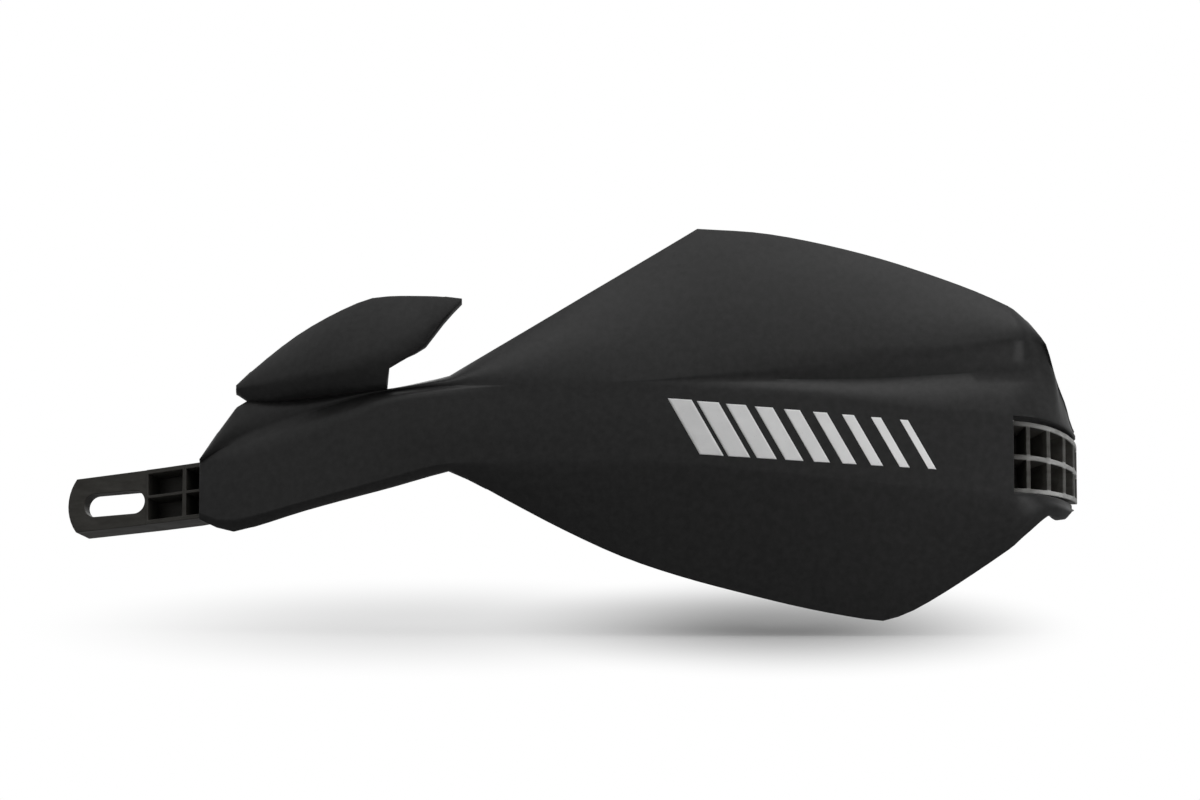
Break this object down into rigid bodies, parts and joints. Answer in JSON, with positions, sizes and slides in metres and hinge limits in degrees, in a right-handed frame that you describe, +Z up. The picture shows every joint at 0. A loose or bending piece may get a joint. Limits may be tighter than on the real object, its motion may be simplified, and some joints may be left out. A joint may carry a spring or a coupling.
{
  "type": "motorcycle hand guard",
  "caption": "Closed left-hand motorcycle hand guard: ribbed moulded bar with slotted tongue and a leaf-shaped wind cover with a small wing.",
  "frame": {"origin": "centre of the bar-end bolt hole, on its axis and half way through the boss", "axes": "+X outboard along the handlebar and the bolt, -Y forward to the front of the motorcycle, +Z up"},
  "size_m": [0.3519, 0.1028, 0.135],
  "materials": {
    "bar_plastic": "moulded, fine grain",
    "cover_plastic": "satin moulded",
    "screw_steel": "zinc plated"
  },
  "bodies": {
    "root": {"bar": "bar_plastic", "cover": "cover_plastic", "cover_screws": "screw_steel", "cover_washers": "screw_steel"}
  },
  "joints": []
}
